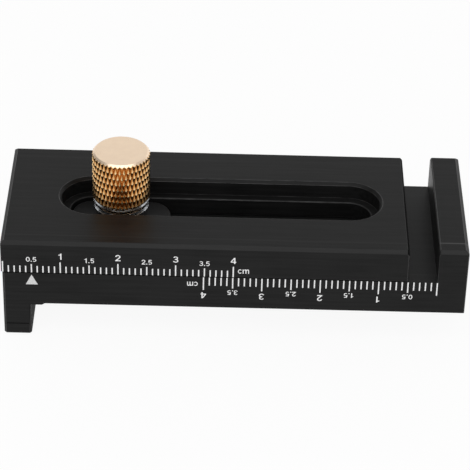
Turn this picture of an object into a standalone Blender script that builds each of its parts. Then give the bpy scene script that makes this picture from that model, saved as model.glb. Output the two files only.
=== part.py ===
"""Depth gauge: a block that slides on a Z-shaped bar and is locked by a knurled brass thumb knob.

Metres, +X towards the lip, +Y to the back, +Z up. The gauge stands at rest with its leg's foot at
Z = 0, and the origin is under the middle of its outline.
"""
import math

import bmesh
import bpy

MM = 0.001
TURN = 2 * math.pi

# Both bars
gauge_width = 30.0 * MM
edge_chamfer = 0.6 * MM
edge_break = 0.12 * MM
slide_clearance = 0.2 * MM
rest_overhang = 0.2 * MM  # how far the block stands past the bar's leg end at rest
notch_width = 5.1 * MM  # measuring gap between the block's end and the lip at rest

# Lower bar
bar_length = 80.0 * MM
bar_thickness = 6.4 * MM
leg_thickness = 4.8 * MM
leg_drop = 6.8 * MM
leg_chamfer = 0.35 * MM
leg_line_rise = 2.4 * MM
leg_line_width = 0.25 * MM
leg_line_depth = 0.12 * MM
leg_line_margin = 0.1 * MM  # left flat between the line's ends and the leg's chamfers
root_step_length = 1.9 * MM
root_step_ramp = 0.5 * MM
root_step_drop = 0.33 * MM
lip_thickness = 5.1 * MM
lip_height = 6.65 * MM
lip_inner_chamfer = 0.2 * MM

# Slide block and its stepped slot
block_thickness = 6.25 * MM
jaw_chamfer = 0.35 * MM
slot_inset = 15.05 * MM  # from the block's left end to the centre of the slot's left round end
slot_end_inset = 10.05 * MM  # the same at the right end
slot_radius = 4.0 * MM
pocket_radius = 5.5 * MM
rim_chamfer = 0.5 * MM
ledge_height = 3.2 * MM

# Guide key, fastened to the bar: it keeps the block square and stops it after 35 mm of travel
key_thickness = 2.6 * MM
key_side_clearance = 0.2 * MM
key_end_clearance = 0.3 * MM
key_chamfer = 0.2 * MM
rest_gap = 0.2 * MM  # left between pieces that rest on each other

# Stud: an M5 socket set screw that stands up through the bar and the key
stud_radius = 2.5 * MM
stud_tip_gap = 0.4 * MM  # left above the stud in the knob's bore
stud_recess = 0.3 * MM
stud_chamfer = 0.5 * MM
stud_socket_flats = 2.5 * MM
stud_socket_depth = 2.2 * MM
thread_pitch = 0.8 * MM
thread_depth = 0.45 * MM
thread_clearance = 0.2 * MM
thread_lead_share = 1.37  # of a pitch: how far the uncut thread runs past each end of the stud

# Two M2.5 countersunk screws that hold the key to the bar
screw_radius = 1.25 * MM
screw_head_radius = 2.35 * MM
screw_head_rim = 0.2 * MM
screw_cover = 0.7 * MM  # key left above the screws' blind holes
screw_recess = 0.2 * MM
screw_tip_chamfer = 0.2 * MM
screw_tip_gap = 0.3 * MM
screw_wall = 0.95 * MM  # bar left between the stud's hole and a screw's hole
screw_end_margin = 2.45 * MM  # from the key's end to the screw's axis
screw_socket_flats = 1.5 * MM
screw_socket_depth = 0.8 * MM
screw_clearance = 0.2 * MM

# Washers
friction_washer_play = 1.0 * MM  # from its edge to the slot's wall
friction_washer_thickness = 1.1 * MM
clear_washer_play = 0.58 * MM
clear_washer_thickness = 1.7 * MM
washer_break = 0.15 * MM

# Thumb knob, whose rolled neck turns in the clear washer and carries it
knob_radius = 5.06 * MM
knob_height = 9.0 * MM
knob_chamfer = 0.46 * MM
knob_foot_chamfer = 0.12 * MM
knob_crown = 1.5 * MM  # brass left over the blind bore
neck_radius = 3.3 * MM
neck_flare = 0.4 * MM
neck_flare_height = 0.5 * MM
neck_recess = 0.25 * MM
knurl_depth = 0.3 * MM
knurl_count = 40
knurl_rows = 7

# Facets in a slot's round end, a washer, a small hole or screw, and a turn of thread
arc_steps = 24
round_steps = 64
hole_steps = 32
thread_steps = 16

# How far a cutter runs past the face it cuts, and how near two places count as one
overrun = 1.0 * MM
same_place = 0.001 * MM

# Places along the gauge
left_end = -(bar_length + rest_overhang) / 2
bar_left = left_end + rest_overhang
bar_right = bar_left + bar_length
leg_inner = bar_left + leg_thickness
lip_inner = bar_right - lip_thickness
block_right = lip_inner - notch_width
front = -gauge_width / 2
back = gauge_width / 2

# Heights
underside = leg_drop
bar_top = underside + bar_thickness
lip_top = bar_top + lip_height
block_bottom = bar_top + slide_clearance
block_top = block_bottom + block_thickness
ledge = block_bottom + ledge_height

# The key holds the stud between its two screws, and stands at the slot's left end at rest
bore_radius = stud_radius + thread_clearance
countersink_radius = screw_head_radius + screw_clearance
screw_hole_radius = screw_radius + screw_clearance
screw_offset = bore_radius + screw_wall + countersink_radius
key_length = 2 * (screw_offset + screw_end_margin)
key_radius = slot_radius - key_side_clearance
key_bottom = bar_top + rest_gap
key_top = key_bottom + key_thickness
slot_left = left_end + slot_inset
slot_right = block_right - slot_end_inset
slot_spacing = slot_right - slot_left
slot_middle = (slot_left + slot_right) / 2
stud_x = slot_left - slot_radius + key_end_clearance + key_length / 2
screw_bottom = underside + screw_recess
screw_hole_top = key_top - screw_cover
screw_length = screw_hole_top - screw_tip_gap - screw_bottom

# The stack on the slot's ledge
friction_washer_radius = pocket_radius - friction_washer_play
clear_washer_radius = pocket_radius - clear_washer_play
friction_washer_bottom = ledge + rest_gap
clear_washer_bottom = friction_washer_bottom + friction_washer_thickness + rest_gap
knob_bottom = clear_washer_bottom + clear_washer_thickness + rest_gap
stud_bottom = underside + stud_recess
stud_length = knob_bottom + knob_height - knob_crown - stud_tip_gap - stud_bottom

# Finishes: colour, roughness and metallic value
black_anodised = ((0.014, 0.014, 0.015), 0.34, 0.0)
black_nylon = ((0.012, 0.012, 0.012), 0.55, 0.0)
black_oxide = ((0.06, 0.06, 0.065), 0.4, 1.0)
clear_plastic = ((0.75, 0.77, 0.79), 0.08, 0.0)
brass = ((0.79, 0.58, 0.33), 0.24, 1.0)


def circle(radius, height, steps=round_steps):
    """Points of a level circle about the local Z axis."""
    angles = [TURN * step / steps for step in range(steps)]
    return [(radius * math.cos(angle), radius * math.sin(angle), height) for angle in angles]


def stadium(half_spacing, radius, height):
    """Points of a level outline with two round ends, long along X."""
    points = []
    for side in (1, -1):
        for step in range(arc_steps + 1):
            angle = TURN / 2 * step / arc_steps - TURN / 4
            along = half_spacing + radius * math.cos(angle)
            across = radius * math.sin(angle)
            points.append((side * along, side * across, height))
    return points


def loft(rings, hollow=False):
    """Closed body through rings of as many points each. A hollow one closes on its first ring."""
    bm = bmesh.new()
    rows = [[bm.verts.new(point) for point in ring] for ring in rings]
    pairs = list(zip(rows, rows[1:]))
    if hollow:
        pairs.append((rows[-1], rows[0]))
    else:
        bm.faces.new(rows[0][::-1])
        bm.faces.new(rows[-1])
    for lower, upper in pairs:
        for here in range(len(lower)):
            there = (here + 1) % len(lower)
            bm.faces.new((lower[here], lower[there], upper[there], upper[here]))
    return bm


def turned(profile, steps=round_steps, hollow=False):
    """Turned body of (radius, height) pairs."""
    return loft([circle(radius, height, steps) for radius, height in profile], hollow)


def box(x_span, y_span, z_span):
    (x0, x1), (y0, y1), (z0, z1) = x_span, y_span, z_span
    return loft([[(x0, y0, z), (x1, y0, z), (x1, y1, z), (x0, y1, z)] for z in (z0, z1)])


def hexagon(flats, low, high):
    """Six-sided body for a socket, measured across its flats."""
    corner_radius = flats / 2 / math.cos(TURN / 12)
    return loft([circle(corner_radius, height, 6) for height in (low, high)])


def at(x=None, y=None, z=None):
    """Pick of the points that have the given coordinates."""
    wanted = (x, y, z)

    def pick(point):
        return all(want is None or abs(have - want) < same_place for have, want in zip(point, wanted))

    return pick


def chamfer(bm, width, picks):
    """Cuts off each edge whose two ends both satisfy one of the picks."""
    edges = [edge for edge in bm.edges if any(all(pick(vert.co) for vert in edge.verts) for pick in picks)]
    bmesh.ops.bevel(bm, geom=edges, offset=width, segments=1, affect="EDGES")


def make_material(name, colour, roughness, metallic):
    material = bpy.data.materials.new(name)
    material.use_nodes = True
    shader = material.node_tree.nodes["Principled BSDF"]
    shader.inputs["Base Color"].default_value = (*colour, 1.0)
    shader.inputs["Roughness"].default_value = roughness
    shader.inputs["Metallic"].default_value = metallic
    material.diffuse_color = (*colour, 1.0)
    return material


def add_object(name, bm, place=(0, 0, 0), parent=None):
    bmesh.ops.recalc_face_normals(bm, faces=bm.faces)
    mesh = bpy.data.meshes.new(name)
    bm.to_mesh(mesh)
    bm.free()
    mesh.shade_smooth()
    mesh.set_sharp_from_angle(angle=TURN / 12)
    obj = bpy.data.objects.new(name, mesh)
    obj.location = place
    obj.parent = parent
    bpy.context.scene.collection.objects.link(obj)
    return obj


def add_piece(name, bm, finish, place=(0, 0, 0), parent=None):
    obj = add_object(name, bm, place, parent)
    obj.data.materials.append(make_material(name + "_finish", *finish))
    return obj


def trim(piece, name, bm, place=(0, 0, 0), operation="DIFFERENCE"):
    """Cuts a hidden body out of a piece, or keeps only what lies inside it."""
    cutter = add_object(name, bm, place, piece.parent)
    cutter.hide_render = True
    cutter.display_type = "WIRE"
    modifier = piece.modifiers.new(name, "BOOLEAN")
    modifier.operation = operation
    modifier.solver = "EXACT"
    modifier.object = cutter
    return cutter


def add_axis(name, place):
    """Empty on a joint's axis, which carries the pieces about it."""
    empty = bpy.data.objects.new(name, None)
    empty.location = place
    bpy.context.scene.collection.objects.link(empty)
    return empty


def base_bar():
    """Z-shaped bar: a leg down at the left end and a lip up at the right end."""
    step_end = leg_inner + root_step_length
    ramp_end = step_end + root_step_ramp
    outline = [
        (bar_left, 0),
        (leg_inner, 0),
        (leg_inner, underside - root_step_drop),
        (step_end, underside - root_step_drop),
        (ramp_end, underside),
        (bar_right, underside),
        (bar_right, lip_top),
        (lip_inner, lip_top),
        (lip_inner, bar_top),
        (bar_left, bar_top),
    ]
    bm = loft([[(x, y, z) for x, z in outline] for y in (front, back)])
    sides = (front, back)
    chamfer(bm, edge_chamfer, [at(x=bar_right, z=lip_top)] + [at(y=side, z=lip_top) for side in sides])
    chamfer(bm, lip_inner_chamfer, [on_lip_inner_rim])
    chamfer(bm, leg_chamfer, [at(z=0)] + [at(x=x, y=side) for x in (bar_left, leg_inner) for side in sides])
    chamfer(bm, edge_break, [at(x=bar_right, z=underside)] + [at(x=bar_right, y=side) for side in sides])
    chamfer(bm, edge_break, [at(y=side, z=underside) for side in sides])
    bar = add_piece("base_bar", bm, black_anodised)

    line_rises = (leg_line_rise - leg_line_width / 2, leg_line_rise + leg_line_width / 2)
    line_inset = leg_chamfer + leg_line_margin
    line_span = (bar_left + line_inset, leg_inner - line_inset)
    line = box(line_span, (front - overrun, front + leg_line_depth), line_rises)
    trim(bar, "cut_leg_line", line)
    stud_hole = turned([(bore_radius, -overrun), (bore_radius, bar_top + overrun)], hole_steps)
    trim(bar, "cut_stud_hole", stud_hole, (stud_x, 0, 0))
    for side, direction in (("left", -1), ("right", 1)):
        place = (stud_x + direction * screw_offset, 0, underside)
        trim(bar, "cut_screw_hole_" + side, countersunk_hole(), place)


def on_lip_inner_rim(point):
    """Whether a point lies on the upper rim of the lip's inner face, with its chamfered corners."""
    return at(x=lip_inner)(point) and point.z > lip_top - edge_chamfer - same_place


def on_jaw_rim(point):
    """Whether a point lies on the upper rim of the block's right end, with its chamfered corners."""
    top = block_top - bar_top
    return at(x=block_right)(point) and point.z > top - edge_chamfer - same_place


def countersunk_hole():
    """Through hole for a key screw, from the bar's underside at local Z = 0."""
    seat = screw_recess + screw_head_rim
    profile = [
        (countersink_radius, -overrun),
        (countersink_radius, seat),
        (screw_hole_radius, seat + countersink_radius - screw_hole_radius),
        (screw_hole_radius, bar_thickness + overrun),
    ]
    return turned(profile, hole_steps)


def slide_block(axis):
    """Block with a stepped slot, its mesh about the slide axis along the bar's top."""
    bottom = block_bottom - bar_top
    top = block_top - bar_top
    bm = box((left_end, block_right), (front, back), (bottom, top))
    sides = (front, back)
    chamfer(bm, edge_chamfer, [at(x=left_end, z=top)] + [at(y=side, z=top) for side in sides])
    chamfer(bm, jaw_chamfer, [on_jaw_rim])
    chamfer(bm, edge_break, [at(x=x, y=side) for x in (left_end, block_right) for side in sides])
    block = add_piece("slide_block", bm, black_anodised, parent=axis)

    profile = [
        (slot_radius, bottom - overrun),
        (slot_radius, bottom + ledge_height),
        (pocket_radius, bottom + ledge_height),
        (pocket_radius, top - rim_chamfer),
        (pocket_radius + rim_chamfer + overrun, top + overrun),
    ]
    slot = loft([stadium(slot_spacing / 2, radius, height) for radius, height in profile])
    trim(block, "cut_slot", slot, (slot_middle, 0, 0))


def guide_key(axis):
    """Round-ended key with a bore for the stud and two blind holes for its screws."""
    half_spacing = key_length / 2 - key_radius
    profile = [
        (key_radius, key_bottom),
        (key_radius, key_top - key_chamfer),
        (key_radius - key_chamfer, key_top),
    ]
    bm = loft([stadium(half_spacing, radius, height) for radius, height in profile])
    key = add_piece("guide_key", bm, black_anodised, parent=axis)
    bore = turned([(bore_radius, key_bottom - overrun), (bore_radius, key_top + overrun)], hole_steps)
    trim(key, "cut_key_bore", bore)
    for side, direction in (("left", -1), ("right", 1)):
        profile = [(screw_hole_radius, key_bottom - overrun), (screw_hole_radius, screw_hole_top)]
        hole = turned(profile, hole_steps)
        trim(key, "cut_key_hole_" + side, hole, (direction * screw_offset, 0, 0))


def key_screw(side, direction, axis):
    """Countersunk socket screw, head down, its mesh about its own axis."""
    profile = [
        (screw_head_radius, 0),
        (screw_head_radius, screw_head_rim),
        (screw_radius, screw_head_rim + screw_head_radius - screw_radius),
        (screw_radius, screw_length - screw_tip_chamfer),
        (screw_radius - screw_tip_chamfer, screw_length),
    ]
    place = (direction * screw_offset, 0, screw_bottom)
    screw = add_piece("key_screw_" + side, turned(profile, hole_steps), black_oxide, place, axis)
    socket = hexagon(screw_socket_flats, -overrun, screw_socket_depth)
    trim(screw, "cut_screw_socket_" + side, socket, place)


def thread(outer_radius, length):
    """Thread about Z: a crest and a root line climb side by side, and a fan closes each end."""
    bm = bmesh.new()
    root_radius = outer_radius - thread_depth
    steps = math.ceil(length / thread_pitch) * thread_steps
    crest, root = [], []
    for step in range(steps + 1):
        angle = TURN * step / thread_steps
        rise = thread_pitch * step / thread_steps
        across, along = math.cos(angle), math.sin(angle)
        crest.append(bm.verts.new((outer_radius * across, outer_radius * along, rise)))
        root.append(bm.verts.new((root_radius * across, root_radius * along, rise + thread_pitch / 2)))
    for step in range(steps):
        bm.faces.new((crest[step], crest[step + 1], root[step + 1], root[step]))
    for step in range(steps - thread_steps):
        above = step + thread_steps
        bm.faces.new((root[step], root[step + 1], crest[above + 1], crest[above]))
    top = thread_pitch * (steps / thread_steps + 1)
    lower_rim = crest[: thread_steps + 1] + root[:1]
    upper_rim = root[steps - thread_steps :] + crest[steps:]
    for rim, height in ((lower_rim, 0), (upper_rim, top)):
        tip = bm.verts.new((0, 0, height))
        for here, there in zip(rim, rim[1:] + rim[:1]):
            bm.faces.new((here, there, tip))
    bmesh.ops.triangulate(bm, faces=bm.faces)
    return bm


def clamp_stud(axis):
    """Set screw, socket down: a longer thread, trimmed by the stud's own chamfered outline."""
    lead = thread_lead_share * thread_pitch
    bm = thread(stud_radius, stud_length + 2 * lead)
    stud = add_piece("clamp_stud", bm, black_oxide, (0, 0, stud_bottom - lead), axis)
    profile = [
        (stud_radius - stud_chamfer, 0),
        (stud_radius + overrun, stud_chamfer + overrun),
        (stud_radius + overrun, stud_length - stud_chamfer - overrun),
        (stud_radius - stud_chamfer, stud_length),
    ]
    outline = trim(stud, "stud_outline", turned(profile), (0, 0, stud_bottom), "INTERSECT")
    socket = hexagon(stud_socket_flats, -overrun, stud_socket_depth)
    trim(outline, "cut_stud_socket", socket, (0, 0, stud_bottom))


def washer(name, finish, outer_radius, thickness, bottom, bore, axis):
    """Ring with broken outer edges. Its bore's profile runs from the top face down."""
    outside = [
        (outer_radius - washer_break, 0),
        (outer_radius, washer_break),
        (outer_radius, thickness - washer_break),
        (outer_radius - washer_break, thickness),
    ]
    add_piece(name, turned(outside + bore, hollow=True), finish, (0, 0, bottom), axis)


def friction_washer(axis):
    radius, thickness, bottom = friction_washer_radius, friction_washer_thickness, friction_washer_bottom
    bore = [(bore_radius, thickness), (bore_radius, 0)]
    washer("friction_washer", black_nylon, radius, thickness, bottom, bore, axis)


def clear_washer(axis):
    """Clamp washer, counterbored below for the rolled end of the knob's neck."""
    radius, thickness, bottom = clear_washer_radius, clear_washer_thickness, clear_washer_bottom
    swivel_radius = neck_radius + rest_gap
    seat_radius = swivel_radius + neck_flare
    seat = neck_recess + neck_flare_height + rest_gap
    bore = [(swivel_radius, thickness), (swivel_radius, seat), (seat_radius, seat), (seat_radius, 0)]
    washer("clear_washer", clear_plastic, radius, thickness, bottom, bore, axis)


def thumb_knob(axis):
    """Knob, neck and blind bore in one body. Two sets of crossing grooves leave rows of diamonds."""
    steps = 2 * knurl_count
    neck_bottom = clear_washer_bottom + neck_recess - knob_bottom
    flare_radius = neck_radius + neck_flare
    profile = [
        (bore_radius, knob_height - knob_crown),
        (bore_radius, neck_bottom),
        (flare_radius, neck_bottom),
        (flare_radius, neck_bottom + neck_flare_height / 2),
        (neck_radius, neck_bottom + neck_flare_height),
        (neck_radius, 0),
        (knob_radius - knob_foot_chamfer, 0),
    ]
    rings = [circle(radius, height, steps) for radius, height in profile]
    row_height = (knob_height - knob_foot_chamfer - knob_chamfer) / knurl_rows
    for row in range(knurl_rows + 1):
        height = knob_foot_chamfer + row * row_height
        crests = circle(knob_radius, height, steps)
        grooves = circle(knob_radius - knurl_depth, height, steps)
        rings.append([(crests, grooves)[(step + row) % 2][step] for step in range(steps)])
    rings.append(circle(knob_radius - knob_chamfer, knob_height, steps))
    bm = loft(rings)
    outer_faces = [
        face
        for face in bm.faces
        if len(face.verts) == 4 and all(vert.co.xy.length > flare_radius + same_place for vert in face.verts)
    ]
    bmesh.ops.triangulate(bm, faces=outer_faces, quad_method="SHORT_EDGE")
    add_piece("thumb_knob", bm, brass, (0, 0, knob_bottom), axis)


def build():
    for obj in list(bpy.data.objects):
        bpy.data.objects.remove(obj, do_unlink=True)
    slide_axis = add_axis("slide_axis", (0, 0, bar_top))
    knob_axis = add_axis("knob_axis", (stud_x, 0, 0))
    base_bar()
    slide_block(slide_axis)
    guide_key(knob_axis)
    for side, direction in (("left", -1), ("right", 1)):
        key_screw(side, direction, knob_axis)
    clamp_stud(knob_axis)
    friction_washer(knob_axis)
    clear_washer(knob_axis)
    thumb_knob(knob_axis)


build()
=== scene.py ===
"""Looks of the depth gauge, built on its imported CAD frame: finer machined surfaces, a diamond-knurled
brass knob, white filled scales, procedural finishes, and soft studio light.

Lengths are millimetres in the CAD's frame, until to_object scales a mesh to metres.
"""
import math

import bmesh
import bpy
from mathutils import Matrix, Vector
from mathutils.geometry import tessellate_polygon


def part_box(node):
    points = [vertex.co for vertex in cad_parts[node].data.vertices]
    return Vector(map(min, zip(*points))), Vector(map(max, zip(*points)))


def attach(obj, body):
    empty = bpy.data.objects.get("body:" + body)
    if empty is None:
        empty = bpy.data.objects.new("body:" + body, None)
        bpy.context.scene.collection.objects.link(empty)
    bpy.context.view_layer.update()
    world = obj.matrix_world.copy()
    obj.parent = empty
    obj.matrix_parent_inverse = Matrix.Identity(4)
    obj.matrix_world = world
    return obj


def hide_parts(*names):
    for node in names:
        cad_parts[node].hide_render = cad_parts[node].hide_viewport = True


MM = 0.001
TURN = 2 * math.pi

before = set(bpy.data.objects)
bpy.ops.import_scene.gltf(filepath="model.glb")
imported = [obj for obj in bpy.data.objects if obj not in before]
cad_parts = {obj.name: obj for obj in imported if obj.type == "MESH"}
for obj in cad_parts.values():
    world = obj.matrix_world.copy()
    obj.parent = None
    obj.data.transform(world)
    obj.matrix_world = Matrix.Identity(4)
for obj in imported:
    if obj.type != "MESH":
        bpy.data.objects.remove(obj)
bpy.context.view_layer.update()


def span(node):
    """Lowest and highest corner of a CAD node at rest, in millimetres."""
    low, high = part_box(node)
    return low / MM, high / MM


bar_low, bar_high = span("base_bar")
block_low, block_high = span("slide_block")
key_low, key_high = span("guide_key")
stud_low, stud_high = span("clamp_stud")
friction_low, friction_high = span("friction_washer")
clear_low, clear_high = span("clear_washer")
knob_low, knob_high = span("thumb_knob")
stud_x = (stud_low.x + stud_high.x) / 2

# Bars: the CAD's own details, and the fine breaks of their edges
edge_chamfer, edge_break = 0.6, 0.12
rounding, key_rounding = 0.07, 0.04
leg_thickness, leg_chamfer = 4.8, 0.35
leg_inner = bar_low.x + leg_thickness
leg_line_rise, leg_line_width, leg_line_depth, leg_line_margin = 2.4, 0.25, 0.12, 0.1
underside, bar_top = 6.8, 13.2
root_step_length, root_step_ramp, root_step_drop = 1.9, 0.5, 0.33
lip_thickness, lip_inner_chamfer = 5.1, 0.2
lip_inner = bar_high.x - lip_thickness
jaw_chamfer = 0.35
slot_left, slot_right = -25.05, 19.85
slot_radius, pocket_radius, rim_chamfer = 4.0, 5.5, 0.5
ledge, ledge_break = 16.6, 0.12
overrun = 1.0

# Key and its screws
key_chamfer = 0.2
key_bore_top = 15.3
bore_radius = 2.7
screw_offset = 6.2
screw_radius, screw_tip_chamfer = 1.25, 0.2
screw_head_radius, screw_head_rim, screw_head_break = 2.35, 0.2, 0.05
screw_recess, screw_clearance = 0.2, 0.2
screw_flats, screw_socket, screw_socket_break = 1.5, 0.8, 0.08

# Stud
thread_pitch, thread_depth = 0.8, 0.45
stud_radius, stud_chamfer = 2.5, 0.5
stud_flats, stud_socket, stud_socket_break = 2.5, 2.2, 0.12

# Knob
knob_radius, knob_bottom = 5.06, 20.0
knob_chamfer, knob_foot_chamfer = 0.46, 0.12
knob_crown, knob_face_ring = 1.5, 0.6
neck_radius, neck_flare, neck_flare_height = 3.3, 0.4, 0.5
knurl_depth, knurl_flat = 0.3, 0.14
knurl_columns, knurl_rows, cell_steps = 80, 7, 6
knurl_end, knurl_run_out = 0.15, 0.4

# Washers
washer_break = 0.15
clear_gap, clear_break = 0.03, 0.04
clear_taper, clear_taper_height = 0.1, 0.9
swivel_clearance, swivel_height = 0.2, 0.95

# Scales on the front face: each row's length of a plain, a fifth and a tenth tick, and its heights
# of the large and the small figures
tick_width, ink_depth = 0.22, 0.015
scale_length = 40
upper_zero, upper_spacing = -39.77, 0.9902
upper_ticks, upper_rows = (1.35, 1.72, 2.2), (16.83, 16.12)
lower_zero, lower_spacing = 35.01, 1.0063
lower_ticks, lower_rows = (-1.7, -2.2, -2.65), (9.4, 10.11)
large_figure, small_figures = (0.95, 1.27), (1.82, 0.97)
upper_unit, upper_unit_size = (1.57, 14.65), (1.98, 0.88)
lower_unit, lower_unit_size = (-7.13, 11.8), (1.88, 0.88)
pointer_corners = [(-35.88, 10.84), (-33.8, 10.84), (-34.84, 12.9)]
letter_gap, letter_width = 0.13, 0.7
advances = {".": 0.2, "c": 0.84, "m": 1.28}

# Lines on the anodised bars: where each is from front to back, and its half width
front_line, front_line_width = -12.6, 0.26
back_line, back_line_width, back_line_share = 12.0, 0.5, 0.35
lip_line, lip_line_width, lip_line_grey = -12.45, 0.2, 0.075
dyed_low, dyed_high = (0.0055, 0.0055, 0.0055), (0.0145, 0.0145, 0.0145)

# Camera, fitted to the photograph's edges: look is the point that it was fitted about, and offset is
# that point's place in the camera's own axes (right, down, ahead)
camera_pitch, camera_yaw, camera_roll = 34.877, 0.233, 1.55
camera_look = (-0.1, 0.0, 13.3)
camera_offset = (-0.0933, -1.2305, 417.78)
camera_lens, camera_sensor = 180.62, 36

# Floor, surroundings (their strengths, and where they fade into each other) and lamp
floor_grey, floor_seen, floor_glow, floor_radius = 0.8, 0.98, 0.92, 3000
horizon_light, horizon_end = 1.0, 0.49
zenith_light, zenith_start = 0.5, 0.7
side_light, side_centre, side_start, side_end = 0.38, 0.1, 0.6, 0.92
lamp_place, lamp_aim, lamp_size, lamp_watts = (0.0, -0.45, 0.65), (0, 0, 0.01), (1.2, 0.6), 2.6


# Mesh helpers


def circle(radius, height, steps):
    angles = [TURN * step / steps for step in range(steps)]
    return [(radius * math.cos(angle), radius * math.sin(angle), height) for angle in angles]


def stadium(half_spacing, radius, height, steps=64):
    points = []
    for side in (1, -1):
        for step in range(steps + 1):
            angle = TURN / 2 * step / steps - TURN / 4
            x, y = half_spacing + radius * math.cos(angle), radius * math.sin(angle)
            points.append((side * x, side * y, height))
    return points


def hexagon_ring(flats, height, steps=48):
    """Points of a hexagon, evenly shared among its six sides and starting on a corner."""
    each = steps // 6
    corners = [Vector(point) for point in circle(flats / 2 / math.cos(TURN / 12), height, 6)]
    corners.append(corners[0])
    return [corners[k].lerp(corners[k + 1], step / each) for k in range(6) for step in range(each)]


def loft(rings, hollow=False):
    """Body through rings of equally many points, capped at both ends, or joined end to end if hollow."""
    bm = bmesh.new()
    rows = [[bm.verts.new(point) for point in ring] for ring in rings]
    pairs = list(zip(rows, rows[1:]))
    if hollow:
        pairs.append((rows[-1], rows[0]))
    else:
        bm.faces.new(rows[0][::-1])
        bm.faces.new(rows[-1])
    for lower, upper in pairs:
        for here in range(len(lower)):
            there = (here + 1) % len(lower)
            bm.faces.new((lower[here], lower[there], upper[there], upper[here]))
    return bm


def turned(profile, steps=128, hollow=False):
    return loft([circle(radius, height, steps) for radius, height in profile], hollow)


def box(x_span, y_span, z_span):
    (x0, x1), (y0, y1), (z0, z1) = x_span, y_span, z_span
    return loft([[(x0, y0, z), (x1, y0, z), (x1, y1, z), (x0, y1, z)] for z in (z0, z1)])


def at(x=None, y=None, z=None, above=None):
    """Test of a point: on the planes that are given, and higher than above."""

    def pick(point):
        near = all(want is None or abs(have - want) < 1e-3 for have, want in zip(point, (x, y, z)))
        return near and (above is None or point.z > above)

    return pick


def chamfer(bm, width, picks):
    """Chamfers the edges whose two ends both pass one of the tests."""

    def is_picked(edge):
        return any(all(pick(vert.co) for vert in edge.verts) for pick in picks)

    edges = [edge for edge in bm.edges if is_picked(edge)]
    bmesh.ops.bevel(bm, geom=edges, offset=width, segments=1, affect="EDGES")


def to_object(name, bm):
    """Object in metres from a body in millimetres."""
    bmesh.ops.recalc_face_normals(bm, faces=bm.faces)
    bm.transform(Matrix.Scale(MM, 4))
    mesh = bpy.data.meshes.new(name)
    bm.to_mesh(mesh)
    bm.free()
    obj = bpy.data.objects.new(name, mesh)
    bpy.context.scene.collection.objects.link(obj)
    return obj


def round_edges(obj, width):
    """Rounds the sharp edges and gives the roundings the object's second finish, here a painted
    highlight.
    """
    bevel = obj.modifiers.new("round", "BEVEL")
    bevel.width = width * MM
    bevel.segments = 2
    bevel.limit_method = "ANGLE"
    bevel.angle_limit = math.radians(25)
    bevel.material = 1
    bevel.use_clamp_overlap = True


def carve(obj, cutters, finishes, edge_width=rounding, round_first=False):
    """Cuts bodies out, rounds sharp edges before or after that, and keeps the result as the mesh."""
    for material in finishes:
        obj.data.materials.append(material)
    if round_first:
        round_edges(obj, edge_width)
    others = []
    for number, bm in enumerate(cutters):
        other = to_object(f"{obj.name}_cutter_{number}", bm)
        others.append(other)
        modifier = obj.modifiers.new("cut", "BOOLEAN")
        modifier.operation = "DIFFERENCE"
        modifier.solver = "EXACT"
        modifier.object = other
    if not round_first:
        round_edges(obj, edge_width)
    bpy.context.view_layer.update()
    evaluated = obj.evaluated_get(bpy.context.evaluated_depsgraph_get())
    mesh = bpy.data.meshes.new_from_object(evaluated)
    obj.modifiers.clear()
    obj.data = mesh
    for other in others:
        bpy.data.objects.remove(other, do_unlink=True)


def finish_chamfers(obj, finishes):
    """Gives the long chamfers at the front and the back, and their roundings, a finish of their own."""
    for face in obj.data.polygons:
        leans = abs(face.normal.y) > 0.2 and face.normal.z > 0.2
        if leans and abs(face.center.y) > (bar_high.y - 2 * edge_chamfer) * MM:
            face.material_index = finishes.index(chamfer_anodised)


def dress(obj, body, slot, finishes, *nodes, sharp=30):
    """Smooth shading, its finishes, a body to ride on and the nodes that the piece stands for."""
    if not obj.data.materials:
        for material in finishes:
            obj.data.materials.append(material)
    obj.data.shade_smooth()
    obj.data.set_sharp_from_angle(angle=math.radians(sharp))
    weighted = obj.modifiers.new("weighted", "WEIGHTED_NORMAL")
    weighted.keep_sharp = True
    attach(obj, body)
    if nodes:
        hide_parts(*nodes)


# Finishes


RANGE_INPUTS = ("From Min", "From Max", "To Min", "To Max")


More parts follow.
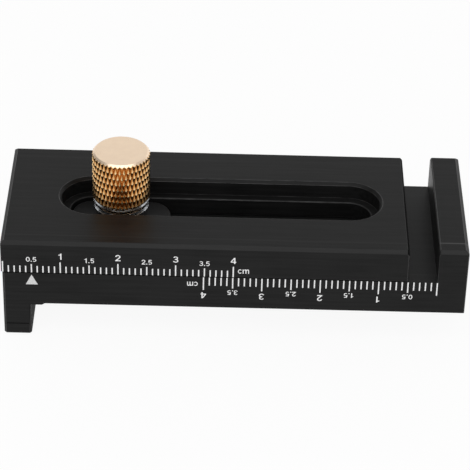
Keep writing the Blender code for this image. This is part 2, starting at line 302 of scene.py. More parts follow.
class Finish:
    """Short-hand for building one material's nodes."""

    def __init__(self, name, base, roughness, metallic=0.0):
        self.material = bpy.data.materials.new(name)
        self.material.use_nodes = True
        self.tree = self.material.node_tree
        self.shader = self.tree.nodes["Principled BSDF"]
        self.shader.inputs["Base Color"].default_value = (*base, 1)
        self.shader.inputs["Roughness"].default_value = roughness
        self.shader.inputs["Metallic"].default_value = metallic
        self.material.diffuse_color = (*base, 1)
        self.place = self.node("ShaderNodeTexCoord").outputs["Object"]

    def node(self, kind, **settings):
        made = self.tree.nodes.new(kind)
        for name, value in settings.items():
            setattr(made, name, value)
        return made

    def feed(self, node, socket, value):
        """Links a socket, or sets a plain value."""
        if isinstance(value, bpy.types.NodeSocket):
            self.tree.links.new(value, node.inputs[socket])
        else:
            node.inputs[socket].default_value = value

    def noise(self, size, stretch=(1, 1, 1), detail=3.0):
        """Noise whose spots are about size millimetres, longer along an axis with a small stretch."""
        mapping = self.node("ShaderNodeMapping")
        self.feed(mapping, "Vector", self.place)
        mapping.inputs["Scale"].default_value = stretch
        noise = self.node("ShaderNodeTexNoise")
        self.feed(noise, "Vector", mapping.outputs["Vector"])
        noise.inputs["Scale"].default_value = 1 / (size * MM)
        noise.inputs["Detail"].default_value = detail
        return noise.outputs["Fac"]

    def ramp(self, value, low, high, out_low=0.0, out_high=1.0):
        """A value between low and high, mapped to between the two outputs."""
        node = self.node("ShaderNodeMapRange")
        self.feed(node, "Value", value)
        for name, number in zip(RANGE_INPUTS, (low, high, out_low, out_high)):
            node.inputs[name].default_value = number
        return node.outputs["Result"]

    def calc(self, first, second, operation="ADD"):
        """One step of sums; ABSOLUTE takes no notice of the second value."""
        node = self.node("ShaderNodeMath", operation=operation)
        self.feed(node, 0, first)
        self.feed(node, 1, second)
        return node.outputs["Value"]

    def tint(self, factor, low, high):
        """Colour between two, by a factor. Each is three numbers or a socket."""
        node = self.node("ShaderNodeMix", data_type="RGBA")
        self.feed(node, 0, factor)
        for socket, colour in ((6, low), (7, high)):
            self.feed(node, socket, colour if isinstance(colour, bpy.types.NodeSocket) else (*colour, 1))
        return node.outputs[2]

    def axes(self):
        node = self.node("ShaderNodeSeparateXYZ")
        self.feed(node, 0, self.place)
        return node.outputs

    def bump(self, height, depth, strength=1.0):
        """Bump of a height from 0 to 1 that is depth millimetres deep."""
        node = self.node("ShaderNodeBump")
        node.inputs["Strength"].default_value = strength
        node.inputs["Distance"].default_value = depth * MM
        self.feed(node, "Height", height)
        self.feed(self.shader, "Normal", node.outputs["Normal"])

    def base(self, colour):
        self.feed(self.shader, "Base Color", colour)

    def roughness(self, value):
        self.feed(self.shader, "Roughness", value)


def away_from(finish, axis, centre):
    """Distance in metres from a plane across an axis, whose place is in millimetres."""
    return finish.calc(finish.calc(finish.axes()[axis], -centre * MM), 0.0, "ABSOLUTE")


def line_mask(finish, centre, half_width):
    """1 on a thin line along the bars, fading to 0 at half_width, in millimetres."""
    return finish.ramp(away_from(finish, 1, centre), 0.0, half_width * MM, 1.0, 0.0)


def black_anodised(name, low=dyed_low, high=dyed_high, shine=0.13):
    """Dyed and lightly blasted, with long faint marks of the cutter and fine lines along the bars."""
    finish = Finish(name, low, 0.3)
    finish.shader.inputs["Specular IOR Level"].default_value = shine
    grain = finish.noise(0.16, detail=4.0)
    streaks = finish.noise(0.5, (0.04, 1, 1), detail=2.0)
    patches = finish.noise(9.0, detail=2.0)
    cloudy = finish.ramp(patches, 0.3, 0.7, 0.0, 0.3)
    shade = finish.calc(cloudy, finish.ramp(streaks, 0.35, 0.65, 0.0, 0.5))
    at_back = finish.calc(line_mask(finish, back_line, back_line_width), back_line_share, "MULTIPLY")
    lines = finish.calc(line_mask(finish, front_line, front_line_width), at_back)
    dyed = finish.tint(finish.calc(shade, lines), low, high)
    # A paler thin line along the lip's top, near its front
    on_lip = finish.ramp(finish.axes()[0], lip_inner * MM, (lip_inner + 0.1) * MM)
    lip_line_mask = finish.calc(line_mask(finish, lip_line, lip_line_width), on_lip, "MULTIPLY")
    finish.base(finish.tint(lip_line_mask, dyed, (lip_line_grey, lip_line_grey, lip_line_grey)))
    # The leg's inner face is duller than the rest
    on_leg = finish.ramp(away_from(finish, 0, leg_inner), 0.3 * MM, 0.45 * MM, 0.35, 0.0)
    below = finish.ramp(finish.axes()[2], (underside - 0.5) * MM, (underside - 0.1) * MM, 1.0, 0.0)
    satin = finish.ramp(finish.calc(patches, streaks), 0.6, 1.4, 0.38, 0.46)
    finish.roughness(finish.calc(satin, finish.calc(on_leg, below, "MULTIPLY")))
    height = finish.calc(finish.calc(grain, 0.7, "MULTIPLY"), finish.calc(streaks, 0.3, "MULTIPLY"))
    finish.bump(height, 0.006, 0.6)
    return finish.material


def edge_painted_highlight():
    """Painted highlight on the rounded edges of the bars and the key: paler and shinier than the black.
    """
    finish = Finish("edge_painted_highlight", (0.08, 0.08, 0.08), 0.3)
    finish.shader.inputs["Specular IOR Level"].default_value = 0.5
    highlight_patches = finish.noise(2.0, detail=4.0)
    # Painted highlight: a paler colour than the black, in random patches
    finish.base(finish.tint(finish.ramp(highlight_patches, 0.35, 0.65), (0.005, 0.005, 0.005), (0.05, 0.05, 0.05)))
    finish.roughness(finish.ramp(highlight_patches, 0.3, 0.7, 0.26, 0.38))
    finish.bump(finish.noise(0.12), 0.003, 0.5)
    return finish.material


def jaw_painted_shadow():
    """Narrow chamfer of the block's jaw, painted darker and duller than the black: a painted shadow
    line.
    """
    finish = Finish("jaw_painted_shadow", (0.004, 0.004, 0.004), 0.6)
    finish.shader.inputs["Specular IOR Level"].default_value = 0.03
    grain = finish.noise(0.2, detail=4.0)
    coarse = finish.ramp(grain, 0.3, 0.7)
    finish.base(finish.tint(coarse, (0.0025, 0.0025, 0.0025), (0.006, 0.006, 0.006)))
    finish.bump(grain, 0.006, 0.6)
    return finish.material


def black_nylon():
    finish = Finish("black_nylon", (0.012, 0.012, 0.012), 0.55)
    grain = finish.noise(0.3, detail=4.0)
    finish.roughness(finish.ramp(grain, 0.3, 0.7, 0.5, 0.62))
    finish.bump(grain, 0.01, 0.6)
    return finish.material


def black_oxide():
    finish = Finish("black_oxide", (0.05, 0.05, 0.055), 0.4, 1.0)
    patches = finish.noise(0.8, detail=4.0)
    finish.base(finish.tint(finish.ramp(patches, 0.35, 0.7), (0.03, 0.03, 0.034), (0.085, 0.08, 0.08)))
    finish.roughness(finish.ramp(patches, 0.3, 0.7, 0.34, 0.5))
    finish.bump(finish.noise(0.12), 0.004, 0.5)
    return finish.material


def radius_from_stud(finish):
    """Distance from the stud's axis, in millimetres."""
    node = finish.node("ShaderNodeVectorMath", operation="MULTIPLY_ADD")
    finish.feed(node, 0, finish.place)
    node.inputs[1].default_value = (1 / MM, 1 / MM, 0)
    node.inputs[2].default_value = (-stud_x, 0, 0)
    length = finish.node("ShaderNodeVectorMath", operation="LENGTH")
    finish.feed(length, 0, node.outputs["Vector"])
    return length.outputs["Value"]


def lathe_marks(finish, pitch):
    """Rings round the stud's axis: a 1D noise over the distance from it."""
    node = finish.node("ShaderNodeTexNoise", noise_dimensions="1D")
    finish.feed(node, "W", finish.calc(radius_from_stud(finish), 1 / pitch, "MULTIPLY"))
    node.inputs["Scale"].default_value = 1.0
    node.inputs["Detail"].default_value = 2.0
    return node.outputs["Fac"]


def clear_plastic():
    """Clear turned plastic, faintly smoky, with the marks of the lathe on its flats."""
    finish = Finish("clear_plastic", (0.75, 0.77, 0.79), 0.06)
    finish.shader.inputs["Transmission Weight"].default_value = 1.0
    finish.shader.inputs["IOR"].default_value = 1.49
    patches = finish.noise(1.2, detail=3.0)
    finish.base(finish.tint(patches, (0.54, 0.56, 0.58), (0.7, 0.72, 0.74)))
    finish.roughness(finish.ramp(patches, 0.3, 0.7, 0.03, 0.1))
    finish.bump(lathe_marks(finish, 0.08), 0.002, 0.4)
    return finish.material


def brass_face_painted_highlight():
    """Satin turned brass of the knob's flats and chamfers, painted paler than the knurl: a painted
    highlight.
    """
    finish = Finish("brass_face_painted_highlight", (0.97, 0.77, 0.58), 0.3, 1.0)
    mottle = finish.noise(1.6, detail=4.0)
    fine = finish.noise(0.12, detail=3.0)
    finish.base(finish.tint(finish.ramp(mottle, 0.3, 0.7), (0.94, 0.74, 0.55), (1.0, 0.8, 0.6)))
    finish.roughness(finish.ramp(mottle, 0.3, 0.7, 0.27, 0.34))
    marks = finish.calc(lathe_marks(finish, 0.06), 0.5, "MULTIPLY")
    finish.bump(finish.calc(marks, finish.calc(fine, 0.5, "MULTIPLY")), 0.0015, 0.5)
    return finish.material


def shaded_brass_neck():
    """Brass of the neck in the washer and of the blind bore, painted dark: painted shade under the knob.
    """
    finish = Finish("shaded_brass_neck", (0.34, 0.22, 0.13), 0.4, 1.0)
    patches = finish.noise(0.6, detail=4.0)
    finish.base(finish.tint(finish.ramp(patches, 0.3, 0.7), (0.2, 0.12, 0.07), (0.48, 0.32, 0.19)))
    finish.roughness(finish.ramp(patches, 0.3, 0.7, 0.32, 0.5))
    finish.bump(finish.noise(0.12), 0.004, 0.5)
    return finish.material


def brass_knurl():
    """Painted highlight, pale gold, on the crests of the knurl, and painted shade, darker and redder, in
    its grooves.
    """
    finish = Finish("brass_knurl", (0.9, 0.64, 0.33), 0.2, 1.0)
    mottle = finish.noise(0.5, detail=4.0)
    # Painted light by depth: paler towards the crests, darker towards the groove bottoms, with a little
    # random tone
    depth = finish.ramp(radius_from_stud(finish), knob_radius - knurl_depth, knob_radius - 0.02)
    crest_light_groove_shade = finish.calc(finish.calc(depth, 1.5, "POWER"), finish.ramp(mottle, 0.3, 0.7, -0.1, 0.1))
    finish.base(finish.tint(crest_light_groove_shade, (0.54, 0.22, 0.044), (1.0, 0.73, 0.39)))
    finish.roughness(finish.ramp(mottle, 0.3, 0.7, 0.13, 0.22))
    finish.bump(finish.noise(0.1, detail=3.0), 0.002, 0.5)
    return finish.material


def white_ink(name, low, high):
    finish = Finish(name, high, 0.5)
    wear = finish.noise(0.25, detail=4.0)
    finish.base(finish.tint(finish.ramp(wear, 0.3, 0.6), low, high))
    finish.roughness(finish.ramp(wear, 0.3, 0.7, 0.45, 0.6))
    finish.bump(finish.noise(0.1), 0.003, 0.5)
    return finish.material


anodised = black_anodised("black_anodised")
# Painted light: the key's black is a lighter copy, so that it looks less shaded down in its slot
lit_key_anodised = black_anodised("black_anodised_key_painted_light", (0.012, 0.012, 0.0122), (0.02, 0.02, 0.0203))
slid_anodised = black_anodised("black_anodised_slid", shine=0.18)
chamfer_anodised = black_anodised("black_anodised_chamfer", shine=0.24)
painted_highlight_edges = edge_painted_highlight()
jaw_shadow = jaw_painted_shadow()
nylon = black_nylon()
oxide = black_oxide()
clear = clear_plastic()
gold = brass_knurl()
highlight_gold = brass_face_painted_highlight()
shaded_gold = shaded_brass_neck()
ink = white_ink("white_ink", (0.8, 0.8, 0.8), (0.96, 0.96, 0.96))
fill = white_ink("white_fill", (0.6, 0.6, 0.6), (0.74, 0.74, 0.74))


# The two bars


def base_bar():
    lip_top = bar_high.z
    step_end = leg_inner + root_step_length
    outline = [
        (bar_low.x, 0),
        (leg_inner, 0),
        (leg_inner, underside - root_step_drop),
        (step_end, underside - root_step_drop),
        (step_end + root_step_ramp, underside),
        (bar_high.x, underside),
        (bar_high.x, lip_top),
        (lip_inner, lip_top),
        (lip_inner, bar_top),
        (bar_low.x, bar_top),
    ]
    front, back = bar_low.y + ink_depth, bar_high.y
    sides = (front, back)
    bm = loft([[(x, y, z) for x, z in outline] for y in sides])
    chamfer(bm, edge_chamfer, [at(x=bar_high.x, z=lip_top)] + [at(y=side, z=lip_top) for side in sides])
    chamfer(bm, lip_inner_chamfer, [at(x=lip_inner, above=lip_top - edge_chamfer - 1e-3)])
    leg_edges = [at(z=0)] + [at(x=x, y=side) for x in (bar_low.x, leg_inner) for side in sides]
    chamfer(bm, leg_chamfer, leg_edges)
    end_edges = [at(x=bar_high.x, z=underside)] + [at(x=bar_high.x, y=side) for side in sides]
    chamfer(bm, edge_break, end_edges)
    chamfer(bm, edge_break, [at(y=side, z=underside) for side in sides])
    obj = to_object("base_bar_skin", bm)
    inset = leg_chamfer + leg_line_margin
    across = (bar_low.x + inset, leg_inner - inset)
    rise = (leg_line_rise - leg_line_width / 2, leg_line_rise + leg_line_width / 2)
    cutters = [box(across, (front - overrun, front + leg_line_depth), rise)]
    hole = turned([(bore_radius, underside - overrun), (bore_radius, bar_top + overrun)], 64)
    hole.transform(Matrix.Translation((stud_x, 0, 0)))
    cutters.append(hole)
    head, shank = screw_head_radius + screw_clearance, screw_radius + screw_clearance
    seat = underside + screw_recess + screw_head_rim
    profile = [(head, underside - overrun), (head, seat)]
    profile += [(shank, seat + head - shank), (shank, bar_top + overrun)]
    for direction in (-1, 1):
        hole = turned(profile, 64)
        hole.transform(Matrix.Translation((stud_x + direction * screw_offset, 0, 0)))
        cutters.append(hole)
    finishes = (anodised, painted_highlight_edges, chamfer_anodised, slid_anodised)
    carve(obj, cutters, finishes, round_first=True)
    finish_chamfers(obj, finishes)
    for face in obj.data.polygons:
        if face.normal.z > 0.9 and abs(face.center.z - bar_top * MM) < 0.1 * MM:
            face.material_index = finishes.index(slid_anodised)
    dress(obj, "base", "black_anodised", finishes, "base_bar")


def slide_block():
    front, back = block_low.y + ink_depth, block_high.y
    bm = box((block_low.x, block_high.x), (front, back), (block_low.z, block_high.z))
    sides = (front, back)
    top_edges = [at(x=block_low.x, z=block_high.z)] + [at(y=side, z=block_high.z) for side in sides]
    chamfer(bm, edge_chamfer, top_edges)
    chamfer(bm, jaw_chamfer, [at(x=block_high.x, above=block_high.z - edge_chamfer - 1e-3)])
    chamfer(bm, edge_break, [at(x=x, y=side) for x in (block_low.x, block_high.x) for side in sides])
    obj = to_object("slide_block_skin", bm)
    profile = [
        (slot_radius, block_low.z - overrun),
        (slot_radius, ledge - ledge_break),
        (slot_radius + ledge_break, ledge),
        (pocket_radius, ledge),
        (pocket_radius, block_high.z - rim_chamfer),
        (pocket_radius + rim_chamfer + overrun, block_high.z + overrun),
    ]
    slot = loft([stadium((slot_right - slot_left) / 2, radius, height) for radius, height in profile])
    slot.transform(Matrix.Translation(((slot_left + slot_right) / 2, 0, 0)))
    finishes = (anodised, painted_highlight_edges, jaw_shadow, chamfer_anodised)
    carve(obj, [slot], finishes)
    finish_chamfers(obj, finishes)
    # The jaw's chamfer takes the painted shadow finish
    for face in obj.data.polygons:
        leans = face.normal.x > 0.4 and face.normal.z > 0.4
        if leans and face.center.x > (block_high.x - jaw_chamfer) * MM:
            face.material_index = finishes.index(jaw_shadow)
    dress(obj, "block", "black_anodised", finishes, "slide_block")


# Key, screws, stud and washers


def guide_key():
    radius = (key_high.y - key_low.y) / 2
    half_spacing = (key_high.x - key_low.x) / 2 - radius
    profile = [(radius, key_low.z), (radius, key_high.z - key_chamfer)]
    profile.append((radius - key_chamfer, key_high.z))
    bm = loft([stadium(half_spacing, r, z) for r, z in profile])
    bm.transform(Matrix.Translation((stud_x, 0, 0)))
    obj = to_object("guide_key_skin", bm)
    bore = turned([(bore_radius, key_low.z - overrun), (bore_radius, key_high.z + overrun)], 64)
    bore.transform(Matrix.Translation((stud_x, 0, 0)))
    cutters = [bore]
    shank = screw_radius + screw_clearance
    for direction in (-1, 1):
        hole = turned([(shank, key_low.z - overrun), (shank, key_bore_top)], 64)
        hole.transform(Matrix.Translation((stud_x + direction * screw_offset, 0, 0)))
        cutters.append(hole)
    finishes = (lit_key_anodised, painted_highlight_edges)
    carve(obj, cutters, finishes, key_rounding)
    dress(obj, "base", "black_anodised", finishes, "guide_key")


def key_screw(node, direction):
    low, high = span(node)
    bottom, top = low.z, high.z
    rings_up = [
        hexagon_ring(screw_flats, bottom + screw_socket),
        hexagon_ring(screw_flats, bottom + screw_socket_break),
        hexagon_ring(screw_flats + 2 * screw_socket_break, bottom),
        circle(screw_head_radius - screw_head_break, bottom, 48),
        circle(screw_head_radius, bottom + screw_head_break, 48),
        circle(screw_head_radius, bottom + screw_head_rim, 48),
        circle(screw_radius, bottom + screw_head_rim + screw_head_radius - screw_radius, 48),
        circle(screw_radius, top - screw_tip_chamfer, 48),
        circle(screw_radius - screw_tip_chamfer, top, 48),
    ]
    bm = loft(rings_up)
    bm.transform(Matrix.Translation((stud_x + direction * screw_offset, 0, 0)))
    obj = to_object(node + "_skin", bm)
    dress(obj, "base", "black_oxide_steel", (oxide,), node)


def clamp_stud():
    """Threaded stud: its radius follows a climbing wave, cut back by a cone at each end."""
    bottom, top = stud_low.z, stud_high.z
    steps, per_turn = 48, 12
    rows = round((top - bottom) / thread_pitch * per_turn)
    rings_up = [
        hexagon_ring(stud_flats, bottom + stud_socket),
        hexagon_ring(stud_flats, bottom + stud_socket_break),
        hexagon_ring(stud_flats + 2 * stud_socket_break, bottom),
    ]
    for row in range(rows + 1):
        z = bottom + (top - bottom) * row / rows
        cone = stud_radius - stud_chamfer + min(z - bottom, top - z)
        ring = []
        for step in range(steps):
            phase = ((z - bottom) / thread_pitch - step / steps) % 1
            depth = thread_depth * min(1.0, max(0.0, 1.25 - 2.5 * abs(phase - 0.5)))
            radius = min(stud_radius - depth, cone)
            angle = TURN * step / steps
            ring.append((radius * math.cos(angle), radius * math.sin(angle), z))
        rings_up.append(ring)
    bm = loft(rings_up)
    bm.transform(Matrix.Translation((stud_x, 0, 0)))
    obj = to_object("clamp_stud_skin", bm)
    dress(obj, "base", "black_oxide_steel", (oxide,), "clamp_stud")


def washer(node, body, slot, material, outside, bore):
    """Ring from its outside's profile, which climbs, and its bore's, which runs down."""
    bm = turned(outside + bore, hollow=True)
    bm.transform(Matrix.Translation((stud_x, 0, 0)))
    obj = to_object(node + "_skin", bm)
    dress(obj, body, slot, (material,), node)


def washers():
    radius = (friction_high.x - friction_low.x) / 2
    outside = []
    for step in range(5):
        angle = TURN / 4 * step / 4
        inset, rise = washer_break * (1 - math.sin(angle)), washer_break * (1 - math.cos(angle))
        outside.append((radius - inset, friction_low.z + rise))
    outside += [(r, friction_high.z - (z - friction_low.z)) for r, z in reversed(outside)]
    bore = [(bore_radius, friction_high.z), (bore_radius, friction_low.z)]
    washer("friction_washer", "base", "black_nylon", nylon, outside, bore)
    swivel = neck_radius + swivel_clearance
    seat_radius = swivel + neck_flare
    seat = clear_low.z + swivel_height
    top = knob_bottom - clear_gap
    bore = [(swivel, top), (swivel, seat), (seat_radius, seat), (seat_radius, clear_low.z)]
    radius = (clear_high.x - clear_low.x) / 2
    outside = [
        (radius - clear_taper, clear_low.z),
        (radius, clear_low.z + clear_taper_height),
        (radius, top - clear_break),
        (radius - clear_break, top),
    ]
    washer("clear_washer", "clamp_washer", "clear_plastic", clear, outside, bore)


# Thumb knob


def knurl_profile(across, up):
    """Depth share of the knurl at a point of the diamond lattice: 0 on a crest, 1 in a groove."""
    first, second = (across + up) / 2, (across - up) / 2
    away = 2 * max(abs(first - round(first)), abs(second - round(second)))
    return max(0.0, (away - knurl_flat) / (1 - knurl_flat))


def thumb_knob():
    """Knurled shell between two cones, with a flat top, a blind bore and a flared neck."""
    top = knob_high.z
    row_height = (top - knob_bottom - knob_foot_chamfer - knob_chamfer) / knurl_rows
    first_row = knob_bottom + knob_foot_chamfer
    steps = knurl_columns * cell_steps
    flat_radius = knob_radius - knob_chamfer
    heights = [knob_bottom + knob_foot_chamfer * k / 4 for k in range(4)]
    heights += [first_row + row_height * k / cell_steps for k in range(knurl_rows * cell_steps + 1)]
    heights += [top - knob_chamfer * (3 - k) / 4 for k in range(4)]
    bm = bmesh.new()
    rows = []
    is_cone = []
    for z in heights:
        up = (z - first_row) / row_height
        cone = min(knob_radius - knob_foot_chamfer + z - knob_bottom, flat_radius + top - z)
        run_out = min(1.0, max(0.0, (top - z - knurl_end) / knurl_run_out))
        row = []
        is_cone.append([])
        for step in range(steps):
            across = step / cell_steps
            depth = knurl_depth * knurl_profile(across, up) * run_out
            radius = min(knob_radius - depth, cone)
            is_cone[-1].append(radius == cone)
            angle = TURN * step / steps
            row.append(bm.verts.new((radius * math.cos(angle), radius * math.sin(angle), z)))
        rows.append(row)
    for number, (lower, upper) in enumerate(zip(rows, rows[1:])):
        up = ((heights[number] + heights[number + 1]) / 2 - first_row) / row_height
        for step in range(steps):
            there = (step + 1) % steps
            corners = (lower[step], lower[there], upper[there], upper[step])
            across = (step + 0.5) / cell_steps
            first, second = (across + up) / 2, (across - up) / 2
            falling = abs(first - round(first)) > abs(second - round(second))
            a, b, c, d = corners
            halves = ((a, b, d), (b, c, d)) if falling else ((a, b, c), (a, c, d))
            on_cone = all(is_cone[number + k][corner] for k in (0, 1) for corner in (step, there))
            for half in halves:
                bm.faces.new(half).material_index = int(on_cone)

    def ring(radius, z):
        points = circle(radius, z, steps)
        return [bm.verts.new(point) for point in points]

    def bridge(lower, upper, finish):
        for here in range(steps):
            there = (here + 1) % steps
            bm.faces.new((lower[here], lower[there], upper[there], upper[here])).material_index = finish

    def fan(rim, z, finish):
        tip = bm.verts.new((0, 0, z))
        for here in range(steps):
            bm.faces.new((rim[here], rim[(here + 1) % steps], tip)).material_index = finish

    inner = ring(flat_radius - knob_face_ring, top)
    bridge(rows[-1], inner, 1)
    fan(inner, top, 1)
    neck_bottom = knob_low.z
    flare = neck_radius + neck_flare
    profile = [
        (neck_radius, knob_bottom),
        (neck_radius, neck_bottom + neck_flare_height),
        (flare, neck_bottom + neck_flare_height / 2),
        (flare, neck_bottom),
        (bore_radius, neck_bottom),
        (bore_radius, top - knob_crown),
    ]
    previous = rows[0]
    for radius, z in profile:
        following = ring(radius, z)
        bridge(previous, following, 2)
        previous = following
    fan(previous, top - knob_crown, 2)
    bm.transform(Matrix.Translation((stud_x, 0, 0)))
    obj = to_object("thumb_knob_skin", bm)
    dress(obj, "knob", "brass", (gold, highlight_gold, shaded_gold), "thumb_knob", sharp=22)


# Scales


def arc(x, y, across, up, start, end, steps=14):
    """Points of an elliptic arc between two angles in degrees."""
    angles = [math.radians(start + (end - start) * step / steps) for step in range(steps + 1)]
    return [(x + across * math.cos(angle), y + up * math.sin(angle)) for angle in angles]


def glyphs():
    """Outlines of the bold figures and letters, one high: an outer contour, and a hole in some."""
    one = [(0.3, 0), (0.47, 0), (0.47, 1), (0.34, 1), (0.28, 0.88), (0.2, 0.82), (0.08, 0.8)]
    one += [(0.08, 0.68), (0.3, 0.68)]
    two = arc(0.345, 0.69, 0.325, 0.31, 180, -35)
    two += [(0.27, 0.15), (0.68, 0.15), (0.68, 0), (0, 0), (0.02, 0.12)]
    two += arc(0.345, 0.69, 0.165, 0.17, -40, 180)
    three = arc(0.34, 0.735, 0.3, 0.265, 165, -35) + arc(0.34, 0.29, 0.34, 0.29, 40, -165)
    three += arc(0.34, 0.29, 0.185, 0.16, -165, 80) + [(0.25, 0.448), (0.25, 0.59)]
    three += arc(0.34, 0.735, 0.15, 0.145, -80, 165)
    four = [(0.42, 0), (0.58, 0), (0.58, 0.23), (0.7, 0.23), (0.7, 0.37), (0.58, 0.37)]
    four += [(0.58, 1), (0.4, 1), (0, 0.38), (0, 0.23), (0.42, 0.23)]
    five = [(0.62, 1), (0.12, 1), (0.03, 0.46), (0.19, 0.46)] + arc(0.34, 0.325, 0.18, 0.19, 125, -135)
    five += arc(0.34, 0.325, 0.335, 0.325, -145, 105) + [(0.25, 0.86), (0.62, 0.86)]
    letter_c = arc(0.42, 0.5, 0.42, 0.5, 42, 318) + arc(0.42, 0.5, 0.25, 0.33, 318, 42)
    letter_m = [(0, 0), (0, 0.98), (0.18, 0.98), (0.2, 0.86)] + arc(0.5, 0.74, 0.24, 0.26, 140, 40)
    letter_m += arc(0.98, 0.7, 0.28, 0.3, 135, 0) + [(1.26, 0), (1.08, 0)]
    letter_m += arc(0.92, 0.6, 0.16, 0.2, 0, 180) + [(0.76, 0), (0.56, 0)]
    letter_m += arc(0.38, 0.6, 0.18, 0.2, 0, 180) + [(0.2, 0)]
    return {
        "0": [arc(0.35, 0.5, 0.35, 0.5, 0, 351, 40), arc(0.35, 0.5, 0.19, 0.36, 0, 351, 40)],
        "1": [one],
        "2": [two],
        "3": [three],
        "4": [four, [(0.42, 0.37), (0.15, 0.37), (0.42, 0.78)]],
        "5": [five],
        ".": [[(0, 0), (0.18, 0), (0.18, 0.18), (0, 0.18)]],
        "c": [letter_c],
        "m": [letter_m],
    }


def prism(bm, contours):
    """Closed thin body on the front face from outlines in x and z."""
    front, back = bar_low.y, bar_low.y + 2 * ink_depth
    flat = [point for contour in contours for point in contour]
    layers = [[bm.verts.new((x, y, z)) for x, z in flat] for y in (front, back)]
    outlines = [[Vector((x, z, 0)) for x, z in contour] for contour in contours]
    for corners in tessellate_polygon(outlines):
        for layer in layers:
            bm.faces.new([layer[corner] for corner in corners])
    first = 0
    for contour in contours:
        count = len(contour)
        for step in range(count):
            here, there = first + step, first + (step + 1) % count
            bm.faces.new((layers[0][here], layers[0][there], layers[1][there], layers[1][here]))
        first += count


def add_marks(name, bm, body, material=ink):
    obj = to_object(name, bm)
    dress(obj, body, "white_marking", (material,))


def ticks(name, body, zero, spacing, edge, lengths):
    """Ticks from the edge of a bar, with the lengths of a plain one, a fifth one and a tenth one."""
    bm = bmesh.new()
    start = block_low.x + edge_break + 0.01
    for count in range(scale_length + 1):
        length = lengths[2] if count % 10 == 0 else lengths[1] if count % 5 == 0 else lengths[0]
        x = zero + spacing * count
        left, right = max(x - tick_width / 2, start), x + tick_width / 2
        prism(bm, [[(left, edge), (right, edge), (right, edge + length), (left, edge + length)]])
    add_marks(name, bm, body)


def word(bm, text, x, z, width, height, turned_over):
    """Characters in cells side by side, scaled to fill a box about (x, z), upright or turned over."""
    contours, pen = [], -letter_gap
    for character in text:
        shape = outlines_of[character]
        low = min(point[0] for point in shape[0])
        high = max(point[0] for point in shape[0])
        cell = advances.get(character, letter_width)
        shift = pen + letter_gap + (cell - low - high) / 2
        contours.append([[(px + shift, py) for px, py in contour] for contour in shape])
        pen += letter_gap + cell
    across = width / pen * (-1 if turned_over else 1)
    up = height * (-1 if turned_over else 1)
    middle = pen / 2

    def place(contour):
        return [(x + (px - middle) * across, z + (py - 0.5) * up) for px, py in contour]

    for shape in contours:
        prism(bm, [place(contour) for contour in shape])


def figures(zero, spacing, rows, turned_over):
    """Half centimetres in small figures and centimetres in large ones, beside their ticks."""
    bm = bmesh.new()
    large_z, small_z = rows
    for count in range(1, 9):
        x = zero + spacing * 5 * count
        if count % 2:
            word(bm, str(count / 2), x, small_z, *small_figures, turned_over)
        else:
            word(bm, str(count // 2), x, large_z, *large_figure, turned_over)
    return bm


def scales():
    ticks("upper_ticks", "block", upper_zero, upper_spacing, block_low.z, upper_ticks)
    ticks("lower_ticks", "base", lower_zero, -lower_spacing, bar_top, lower_ticks)
    upper = figures(upper_zero, upper_spacing, upper_rows, False)
    word(upper, "cm", *upper_unit, *upper_unit_size, False)
    add_marks("upper_figures", upper, "block")
    lower = figures(lower_zero, -lower_spacing, lower_rows, True)
    word(lower, "cm", *lower_unit, *lower_unit_size, True)
    add_marks("lower_figures", lower, "base")
    pointer = bmesh.new()
    prism(pointer, [pointer_corners])
    add_marks("pointer_triangle", pointer, "base", fill)


outlines_of = glyphs()
base_bar()
slide_block()
guide_key()
key_screw("key_screw_left", -1)
key_screw("key_screw_right", 1)
clamp_stud()
washers()
thumb_knob()
scales()


# Camera, floor and light


def add_camera():
    pitch, yaw, roll = (math.radians(angle) for angle in (camera_pitch, camera_yaw, camera_roll))
    up, ahead = math.cos(pitch), math.sin(pitch)
    tilt = Matrix(((1, 0, 0), (0, -ahead, -up), (0, up, -ahead)))

    def twist(angle):
        across, along = math.cos(angle), math.sin(angle)
        return Matrix(((across, -along, 0), (along, across, 0), (0, 0, 1)))

    turn = twist(roll) @ tilt @ twist(yaw)
    eye = Vector(camera_look) - turn.transposed() @ Vector(camera_offset)
    data = bpy.data.cameras.new("camera")
    data.lens = camera_lens
    data.sensor_width = camera_sensor
    data.clip_start, data.clip_end = 0.01, 20
    camera = bpy.data.objects.new("camera", data)
    bpy.context.scene.collection.objects.link(camera)
    columns = Matrix((turn[0], -turn[1], -turn[2])).transposed()
    camera.matrix_world = Matrix.Translation(eye * MM) @ columns.to_4x4()
    bpy.context.scene.camera = camera


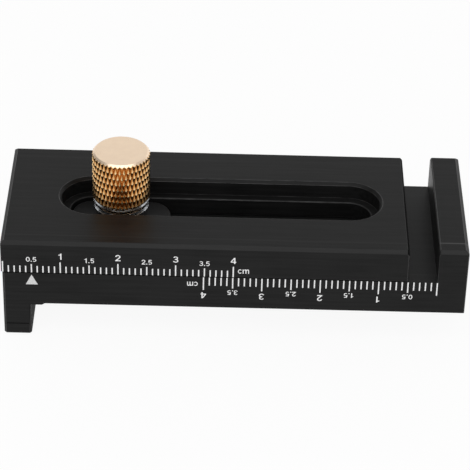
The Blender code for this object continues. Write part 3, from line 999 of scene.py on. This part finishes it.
def add_floor():
    """Plain pale floor that the camera, metal and clear plastic see as white, with its shadow."""
    bm = bmesh.new()
    bmesh.ops.create_circle(bm, cap_ends=True, radius=floor_radius, segments=96)
    floor = to_object("floor", bm)
    plain, pale = (floor_grey, floor_grey, floor_grey), (floor_seen, floor_seen, floor_seen)
    finish = Finish("floor", plain, 0.9)
    finish.shader.inputs["Specular IOR Level"].default_value = 0.0
    path = finish.node("ShaderNodeLightPath")
    seen = finish.calc(path.outputs["Is Camera Ray"], path.outputs["Is Glossy Ray"], "MAXIMUM")
    seen = finish.calc(seen, path.outputs["Is Transmission Ray"], "MAXIMUM")
    glow = finish.node("ShaderNodeEmission")
    mix = finish.node("ShaderNodeMixShader")
    finish.base(finish.tint(seen, plain, pale))
    finish.feed(mix, 0, finish.calc(seen, floor_glow, "MULTIPLY"))
    finish.feed(mix, 1, finish.shader.outputs["BSDF"])
    finish.feed(mix, 2, glow.outputs["Emission"])
    finish.feed(finish.tree.nodes["Material Output"], "Surface", mix.outputs["Shader"])
    floor.data.materials.append(finish.material)


def add_light(name, place, aim, size, watts):
    data = bpy.data.lights.new(name, "AREA")
    data.shape = "RECTANGLE"
    data.size, data.size_y = size
    data.energy = watts
    light = bpy.data.objects.new(name, data)
    bpy.context.scene.collection.objects.link(light)
    light.location = place
    light.rotation_euler = (Vector(aim) - Vector(place)).to_track_quat("-Z", "Y").to_euler()


def add_world():
    """Soft surroundings: palest near the horizon in front and behind, dimmer above and at the sides."""
    world = bpy.data.worlds.new("studio")
    bpy.context.scene.world = world
    world.use_nodes = True
    tree = world.node_tree
    background = tree.nodes["Background"]
    axes = tree.nodes.new("ShaderNodeSeparateXYZ")
    tree.links.new(tree.nodes.new("ShaderNodeTexCoord").outputs["Generated"], axes.inputs[0])

    def fade(socket, low, high, out_low, out_high):
        node = tree.nodes.new("ShaderNodeMapRange")
        node.interpolation_type = "SMOOTHSTEP"
        tree.links.new(socket, node.inputs["Value"])
        for name, value in zip(RANGE_INPUTS, (low, high, out_low, out_high)):
            if isinstance(value, bpy.types.NodeSocket):
                tree.links.new(value, node.inputs[name])
            else:
                node.inputs[name].default_value = value
        return node.outputs["Result"]

    upwards = fade(axes.outputs["Z"], horizon_end, zenith_start, horizon_light, zenith_light)
    shifted = tree.nodes.new("ShaderNodeMath")
    tree.links.new(axes.outputs["X"], shifted.inputs[0])
    shifted.inputs[1].default_value = -side_centre
    sideways = tree.nodes.new("ShaderNodeMath")
    sideways.operation = "ABSOLUTE"
    tree.links.new(shifted.outputs[0], sideways.inputs[0])
    strength = fade(sideways.outputs[0], side_start, side_end, upwards, side_light)
    tree.links.new(strength, background.inputs["Strength"])
    background.inputs["Color"].default_value = (1, 1, 1, 1)


add_camera()
add_floor()
add_world()
add_light("overhead_front", lamp_place, lamp_aim, lamp_size, lamp_watts)
bpy.context.scene.view_settings.view_transform = "Standard"
